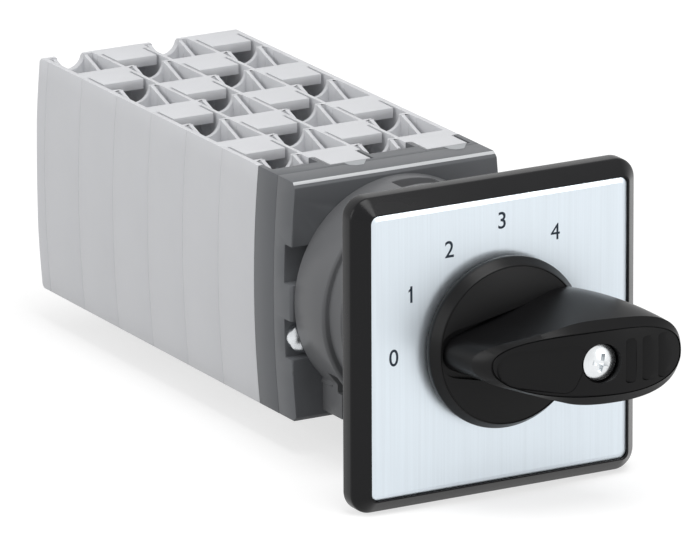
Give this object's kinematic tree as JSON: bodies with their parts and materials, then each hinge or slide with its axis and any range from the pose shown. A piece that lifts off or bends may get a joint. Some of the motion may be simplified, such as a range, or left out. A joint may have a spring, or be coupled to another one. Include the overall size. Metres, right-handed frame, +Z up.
{
  "type": "cam switch",
  "caption": "Panel-mounted rotary cam switch: pointer handle on a square bezel with a numbered plate, latch housing and a long stack of contact stages with screw terminals.",
  "frame": {"origin": "where the shaft axis crosses the front face of the panel, which is the bezel's rear face", "axes": "+Y along the shaft from the handle back into the cabinet, +Z up, +X to the right as the handle is faced"},
  "size_m": [0.06, 0.1635, 0.06],
  "materials": {
    "bezel_black": "smooth moulded, glossy",
    "legend_aluminium": "brushed upwards, clear anodised",
    "seal_rubber": "matt",
    "collar_grey": "fine moulded texture",
    "latch_grey": "fine moulded texture",
    "stage_grey": "fine moulded texture",
    "screw_steel": "zinc plated, bright",
    "shaft_steel": "drawn, plated",
    "contact_brass": "stamped",
    "contact_copper": "stamped copper with silver tips",
    "handle_black": "satin moulded",
    "ivory_plastic": "smooth moulded",
    "cam_red": "smooth moulded"
  },
  "bodies": {
    "base": {"bezel_frame": "bezel_black", "legend_plate": "legend_aluminium", "panel_gasket": "seal_rubber", "mounting_bush": "collar_grey", "ring_nut": "collar_grey", "collar_adapter": "collar_grey", "adapter_screws": "screw_steel", "latch_housing": "latch_grey", "latch_cover": "latch_grey", "tie_screws": "screw_steel", "tie_nuts": "contact_brass", "rear_cover": "stage_grey", "wafer_1": "stage_grey", "wafer_2": "stage_grey", "wafer_3": "stage_grey", "wafer_4": "stage_grey", "wafer_5": "stage_grey", "wafer_6": "stage_grey", "fixed_contacts": "contact_brass", "terminal_screws": "screw_steel", "contact_springs": "screw_steel", "detent_springs": "screw_steel"},
    "rotor": {"handle": "handle_black", "handle_screw": "screw_steel", "handle_carrier": "shaft_steel", "shaft_seal": "seal_rubber", "drive_shaft": "shaft_steel", "detent_star": "ivory_plastic", "cam_1": "cam_red", "cam_2": "cam_red", "cam_3": "cam_red", "cam_4": "cam_red", "cam_5": "cam_red", "cam_6": "cam_red"},
    "detent_left": {"detent_slider_left": "ivory_plastic"},
    "detent_right": {"detent_slider_right": "ivory_plastic"},
    "contact_1_left": {"plunger_1_left": "ivory_plastic", "bridge_1_left": "contact_copper"},
    "contact_1_right": {"plunger_1_right": "ivory_plastic", "bridge_1_right": "contact_copper"},
    "contact_2_left": {"plunger_2_left": "ivory_plastic", "bridge_2_left": "contact_copper"},
    "contact_2_right": {"plunger_2_right": "ivory_plastic", "bridge_2_right": "contact_copper"},
    "contact_3_left": {"plunger_3_left": "ivory_plastic", "bridge_3_left": "contact_copper"},
    "contact_3_right": {"plunger_3_right": "ivory_plastic", "bridge_3_right": "contact_copper"},
    "contact_4_left": {"plunger_4_left": "ivory_plastic", "bridge_4_left": "contact_copper"},
    "contact_4_right": {"plunger_4_right": "ivory_plastic", "bridge_4_right": "contact_copper"},
    "contact_5_left": {"plunger_5_left": "ivory_plastic", "bridge_5_left": "contact_copper"},
    "contact_5_right": {"plunger_5_right": "ivory_plastic", "bridge_5_right": "contact_copper"},
    "contact_6_left": {"plunger_6_left": "ivory_plastic", "bridge_6_left": "contact_copper"},
    "contact_6_right": {"plunger_6_right": "ivory_plastic", "bridge_6_right": "contact_copper"}
  },
  "joints": [
    {"name": "handle_turn", "type": "hinge", "parent": "base", "child": "rotor", "pos_m": [0, 0, 0], "axis": [0, 1, 0], "range_deg": [0, 120]},
    {"name": "detent_left_slide", "type": "slide", "parent": "base", "child": "detent_left", "axis": [-1, 0, 0], "range_m": [-0.001, 0], "stiffness_N_per_m": 400, "springref_m": -0.003},
    {"name": "detent_right_slide", "type": "slide", "parent": "base", "child": "detent_right", "axis": [1, 0, 0], "range_m": [-0.001, 0], "stiffness_N_per_m": 400, "springref_m": -0.003},
    {"name": "contact_1_left_slide", "type": "slide", "parent": "base", "child": "contact_1_left", "axis": [1, 0, 0], "range_m": [0, 0.0015]},
    {"name": "contact_1_right_slide", "type": "slide", "parent": "base", "child": "contact_1_right", "axis": [-1, 0, 0], "range_m": [0, 0.0015]},
    {"name": "contact_2_left_slide", "type": "slide", "parent": "base", "child": "contact_2_left", "axis": [1, 0, 0], "range_m": [0, 0.0015]},
    {"name": "contact_2_right_slide", "type": "slide", "parent": "base", "child": "contact_2_right", "axis": [-1, 0, 0], "range_m": [0, 0.0015]},
    {"name": "contact_3_left_slide", "type": "slide", "parent": "base", "child": "contact_3_left", "axis": [1, 0, 0], "range_m": [0, 0.0015]},
    {"name": "contact_3_right_slide", "type": "slide", "parent": "base", "child": "contact_3_right", "axis": [-1, 0, 0], "range_m": [0, 0.0015]},
    {"name": "contact_4_left_slide", "type": "slide", "parent": "base", "child": "contact_4_left", "axis": [1, 0, 0], "range_m": [0, 0.0015]},
    {"name": "contact_4_right_slide", "type": "slide", "parent": "base", "child": "contact_4_right", "axis": [-1, 0, 0], "range_m": [0, 0.0015]},
    {"name": "contact_5_left_slide", "type": "slide", "parent": "base", "child": "contact_5_left", "axis": [1, 0, 0], "range_m": [0, 0.0015]},
    {"name": "contact_5_right_slide", "type": "slide", "parent": "base", "child": "contact_5_right", "axis": [-1, 0, 0], "range_m": [0, 0.0015]},
    {"name": "contact_6_left_slide", "type": "slide", "parent": "base", "child": "contact_6_left", "axis": [1, 0, 0], "range_m": [0, 0.0015]},
    {"name": "contact_6_right_slide", "type": "slide", "parent": "base", "child": "contact_6_right", "axis": [-1, 0, 0], "range_m": [0, 0.0015]}
  ],
  "couplings": [
    {"joint": "contact_1_left_slide", "follows": "handle_turn", "m_per_rad": 0.000716},
    {"joint": "contact_1_right_slide", "follows": "handle_turn", "m_per_rad": 0.000716},
    {"joint": "contact_2_left_slide", "follows": "handle_turn", "m_per_rad": 0.000716},
    {"joint": "contact_2_right_slide", "follows": "handle_turn", "m_per_rad": 0.000716},
    {"joint": "contact_3_left_slide", "follows": "handle_turn", "m_per_rad": 0.000716},
    {"joint": "contact_3_right_slide", "follows": "handle_turn", "m_per_rad": 0.000716},
    {"joint": "contact_4_left_slide", "follows": "handle_turn", "m_per_rad": 0.000716},
    {"joint": "contact_4_right_slide", "follows": "handle_turn", "m_per_rad": 0.000716},
    {"joint": "contact_5_left_slide", "follows": "handle_turn", "m_per_rad": 0.000716},
    {"joint": "contact_5_right_slide", "follows": "handle_turn", "m_per_rad": 0.000716},
    {"joint": "contact_6_left_slide", "follows": "handle_turn", "m_per_rad": 0.000716},
    {"joint": "contact_6_right_slide", "follows": "handle_turn", "m_per_rad": 0.000716}
  ]
}
